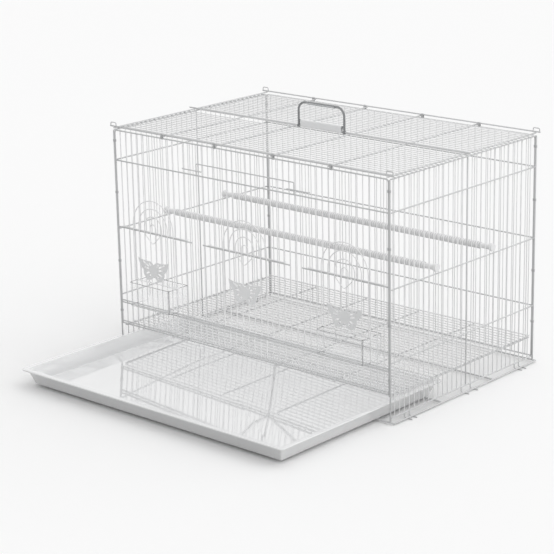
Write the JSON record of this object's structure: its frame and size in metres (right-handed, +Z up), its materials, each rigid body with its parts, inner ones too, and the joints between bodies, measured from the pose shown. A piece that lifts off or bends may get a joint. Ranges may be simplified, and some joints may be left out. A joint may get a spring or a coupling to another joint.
{
  "type": "wire flight cage",
  "caption": "Wide box-shaped wire bird cage with lift-up doors, clear feeder cups, ribbed perches, a folding carrying handle, a slide-out floor grate and a litter tray pulled out at the front.",
  "frame": {"origin": "on the table, below the centre of the rectangle between the four corner posts", "axes": "+X to the right along the wide side, +Y to the back, +Z up; the doors and the tray face -Y"},
  "size_m": [0.7968, 0.805, 0.562],
  "materials": {
    "wire": "white powder coat, satin",
    "clip": "white coated strip, satin",
    "plate": "white powder coat on thin sheet",
    "clear_cup": "clear, polished",
    "tray": "white, glossy",
    "perch": "light grey, fine ribs",
    "perch_end": "white, satin",
    "handle": "bright plated wire",
    "strap": "grey, satin",
    "grip": "light grey, satin"
  },
  "bodies": {
    "cage": {"front_frame": "wire", "front_bars": "wire", "back_frame": "wire", "back_bars": "wire", "left_frame": "wire", "left_bars": "wire", "left_feet": "wire", "right_frame": "wire", "right_bars": "wire", "right_feet": "wire", "top_frame": "wire", "top_bars": "wire", "base_frame": "wire", "corner_clips": "clip", "top_clips": "clip", "corner_loops": "wire", "front_rail": "wire", "front_perch": "perch", "rear_perch": "perch", "front_perch_ends": "perch_end", "rear_perch_ends": "perch_end"},
    "tray_body": {"tray": "tray"},
    "grate": {"grate_frame": "wire", "grate_bars": "wire"},
    "left_guillotine": {"left_door": "wire", "left_scroll": "wire", "left_butterfly": "plate"},
    "middle_guillotine": {"middle_door": "wire", "middle_scroll": "wire", "middle_butterfly": "plate"},
    "right_guillotine": {"right_door": "wire", "right_scroll": "wire", "right_butterfly": "plate"},
    "left_feeder": {"left_cup": "clear_cup"},
    "right_feeder": {"right_cup": "clear_cup"},
    "handle": {"handle_loop": "handle", "handle_strap": "strap", "handle_grip": "grip"}
  },
  "joints": [
    {"name": "tray_slide", "type": "slide", "parent": "cage", "child": "tray_body", "axis": [0, -1, 0], "range_m": [-0.296, 0.1]},
    {"name": "grate_slide", "type": "slide", "parent": "cage", "child": "grate", "axis": [0, -1, 0], "range_m": [0, 0.4]},
    {"name": "left_door_lift", "type": "slide", "parent": "cage", "child": "left_guillotine", "axis": [0, 0, 1], "range_m": [0, 0.106]},
    {"name": "middle_door_lift", "type": "slide", "parent": "cage", "child": "middle_guillotine", "axis": [0, 0, 1], "range_m": [0, 0.142]},
    {"name": "right_door_lift", "type": "slide", "parent": "cage", "child": "right_guillotine", "axis": [0, 0, 1], "range_m": [0, 0.106]},
    {"name": "left_cup_pull", "type": "slide", "parent": "cage", "child": "left_feeder", "axis": [0, -1, 0], "range_m": [0, 0.06]},
    {"name": "right_cup_pull", "type": "slide", "parent": "cage", "child": "right_feeder", "axis": [0, -1, 0], "range_m": [0, 0.06]},
    {"name": "handle_fold", "type": "hinge", "parent": "cage", "child": "handle", "pos_m": [0, 0, 0.50753], "axis": [1, 0, 0], "range_deg": [-82, 82]}
  ]
}
